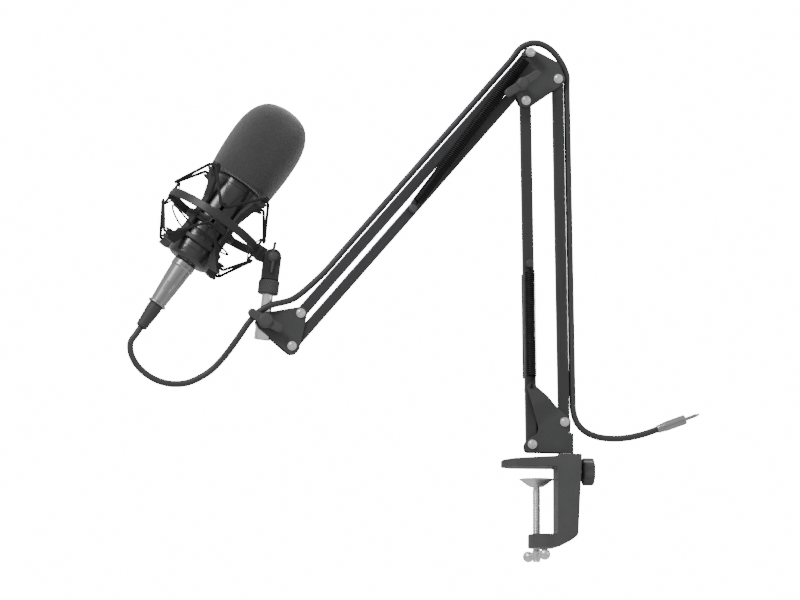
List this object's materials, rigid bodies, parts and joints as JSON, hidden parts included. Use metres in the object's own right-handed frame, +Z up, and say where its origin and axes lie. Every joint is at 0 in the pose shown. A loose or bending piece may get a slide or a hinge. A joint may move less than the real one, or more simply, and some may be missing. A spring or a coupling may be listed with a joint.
{
  "type": "condenser microphone on boom arm",
  "caption": "Condenser microphone with foam windscreen in an elastic shock mount, on a folding spring-balanced arm with a desk clamp and cable.",
  "frame": {"origin": "on the clamp screw's axis, at the underside of the top jaw, where a desk top's upper face rests", "axes": "+Z up, along the clamp screw; +X from the screw to the clamp's column, away from the microphone; +Y from the front to the back of the arm"},
  "size_m": [0.5745, 0.1092, 0.5263],
  "materials": {
    "clamp_paint": "matt black paint",
    "arm_paint": "matt black paint",
    "plate_paint": "matt black paint",
    "bright_steel": "bright zinc plate",
    "chrome": "polished",
    "spring_black": "black oxide",
    "knob_plastic": "matt",
    "mount_plastic": "satin",
    "elastic_cord": "braided",
    "mic_enamel": "gloss black enamel",
    "foam": "open-cell foam",
    "basket_mesh": "woven mesh",
    "brass": "plain",
    "board_green": "solder mask",
    "connector_metal": "satin nickel",
    "cable_rubber": "matt jacket"
  },
  "bodies": {
    "clamp": {"clamp_frame": "clamp_paint"},
    "lock": {"lock_knob": "knob_plastic"},
    "pad": {"pressure_pad": "bright_steel"},
    "screw": {"clamp_screw": "bright_steel", "tommy_bar": "bright_steel"},
    "turntable": {"swivel_post": "bright_steel", "base_bracket": "plate_paint", "base_bolt_front": "bright_steel", "base_bolt_back": "bright_steel", "cable_tail": "cable_rubber", "jack_plug": "connector_metal"},
    "lower_front": {"lower_front_bar": "arm_paint", "lower_spring_stud": "spring_black", "lower_spring_front": "spring_black", "lower_spring_rear": "spring_black"},
    "lower_back": {"lower_back_bar": "arm_paint", "cable_lower": "cable_rubber"},
    "elbow": {"elbow_plate_front": "plate_paint", "elbow_plate_rear": "plate_paint", "elbow_bolt_front": "bright_steel", "elbow_bolt_back": "bright_steel", "elbow_spring_bolt": "bright_steel", "elbow_wing_bolt": "bright_steel", "cable_elbow": "cable_rubber"},
    "elbow_wing": {"elbow_wing_nut": "knob_plastic"},
    "upper_top": {"upper_top_bar": "arm_paint", "cable_upper": "cable_rubber"},
    "upper_bottom": {"upper_bottom_bar": "arm_paint", "upper_spring_stud": "spring_black", "upper_spring_front": "spring_black", "upper_spring_rear": "spring_black"},
    "head": {"head_plate_front": "plate_paint", "head_plate_rear": "plate_paint", "head_bolt_top": "bright_steel", "head_bolt_bottom": "bright_steel", "head_wing_bolt": "bright_steel", "cable_loop": "cable_rubber"},
    "head_wing": {"head_wing_nut": "knob_plastic"},
    "post": {"threaded_post": "chrome"},
    "clevis": {"clevis": "mount_plastic"},
    "collar": {"knurled_collar": "knob_plastic"},
    "tilt_lever": {"tilt_lever": "knob_plastic", "tilt_screw": "bright_steel"},
    "shock_ring": {"outer_ring": "mount_plastic", "ring_arm": "mount_plastic", "elastic_upper": "elastic_cord", "elastic_lower": "elastic_cord"},
    "cradle": {"cradle_cage": "mount_plastic", "mic_body": "mic_enamel", "mic_base_ring": "mic_enamel", "head_basket": "basket_mesh", "foam_windscreen": "foam", "capsule": "brass", "circuit_board": "board_green", "xlr_socket": "connector_metal", "xlr_plug": "connector_metal", "xlr_boot": "cable_rubber"}
  },
  "joints": [
    {"name": "base_swivel", "type": "hinge", "parent": "clamp", "child": "turntable", "pos_m": [0.0295, 0, 0.0133], "axis": [0, 0, 1], "continuous": true},
    {"name": "lock_knob_turn", "type": "hinge", "parent": "clamp", "child": "lock", "pos_m": [0.045, 0, -0.0037], "axis": [1, 0, 0], "range_deg": [0, 720]},
    {"name": "pad_travel", "type": "slide", "parent": "clamp", "child": "pad", "axis": [0, 0, 1], "range_m": [-0.0449, 0.0015]},
    {"name": "screw_turn", "type": "hinge", "parent": "pad", "child": "screw", "pos_m": [0, 0, -0.0143], "axis": [0, 0, 1], "range_deg": [-10700, 350]},
    {"name": "lower_swing", "type": "hinge", "parent": "turntable", "child": "lower_back", "pos_m": [0.0277, 0, 0.0453], "axis": [0, -1, 0], "range_deg": [-18, 50], "deforming": ["cable_tail", "cable_lower"]},
    {"name": "lower_front_swing", "type": "hinge", "parent": "turntable", "child": "lower_front", "pos_m": [-0.005, 0, 0.0227], "axis": [0, -1, 0], "range_deg": [-18, 50], "deforming": ["lower_spring_front", "lower_spring_rear"]},
    {"name": "elbow_level", "type": "hinge", "parent": "lower_back", "child": "elbow", "pos_m": [0.02225, 0, 0.3919], "axis": [0, -1, 0], "range_deg": [-50, 18]},
    {"name": "elbow_wing_turn", "type": "hinge", "parent": "elbow", "child": "elbow_wing", "pos_m": [-0.0162, 0, 0.3836], "axis": [0, -1, 0], "range_deg": [0, 270]},
    {"name": "upper_swing", "type": "hinge", "parent": "elbow", "child": "upper_top", "pos_m": [-0.0074, 0, 0.4166], "axis": [0, -1, 0], "range_deg": [-75, 5], "deforming": ["cable_elbow"]},
    {"name": "upper_bottom_swing", "type": "hinge", "parent": "elbow", "child": "upper_bottom", "pos_m": [-0.0162, 0, 0.3836], "axis": [0, -1, 0], "range_deg": [-75, 5], "deforming": ["upper_spring_front", "upper_spring_rear"]},
    {"name": "head_level", "type": "hinge", "parent": "upper_top", "child": "head", "pos_m": [-0.2372, 0, 0.1518], "axis": [0, -1, 0], "range_deg": [-5, 75], "deforming": ["cable_upper"]},
    {"name": "head_wing_turn", "type": "hinge", "parent": "head", "child": "head_wing", "pos_m": [-0.2732, 0, 0.143], "axis": [0, -1, 0], "range_deg": [0, 270]},
    {"name": "post_tilt", "type": "hinge", "parent": "head", "child": "post", "pos_m": [-0.2732, 0, 0.143], "axis": [0, -1, 0], "range_deg": [-15, 30]},
    {"name": "mount_swivel", "type": "hinge", "parent": "post", "child": "clevis", "pos_m": [-0.2732, 0, 0.143], "axis": [0.1219, 0, 0.9925], "range_deg": [-45, 45]},
    {"name": "collar_turn", "type": "hinge", "parent": "clevis", "child": "collar", "pos_m": [-0.2732, 0, 0.143], "axis": [0.1219, 0, 0.9925], "continuous": true},
    {"name": "tilt_lever_turn", "type": "hinge", "parent": "clevis", "child": "tilt_lever", "pos_m": [-0.26525, 0, 0.20771], "axis": [0, -1, 0], "range_deg": [0, 270]},
    {"name": "mic_tilt", "type": "hinge", "parent": "clevis", "child": "shock_ring", "pos_m": [-0.26525, 0, 0.20771], "axis": [0, -1, 0], "range_deg": [-15, 30], "deforming": ["cable_loop"]},
    {"name": "cradle_float", "type": "slide", "parent": "shock_ring", "child": "cradle", "axis": [0.5592, 0, 0.829], "range_m": [-0.004, 0.004], "stiffness_N_per_m": 6000, "deforming": ["elastic_upper", "elastic_lower"]}
  ],
  "couplings": [
    {"joint": "lower_front_swing", "follows": "lower_swing", "ratio": 1},
    {"joint": "elbow_level", "follows": "lower_swing", "ratio": -1},
    {"joint": "upper_bottom_swing", "follows": "upper_swing", "ratio": 1},
    {"joint": "head_level", "follows": "upper_swing", "ratio": -1},
    {"joint": "pad_travel", "follows": "screw_turn", "m_per_rad": 0.00023873}
  ]
}
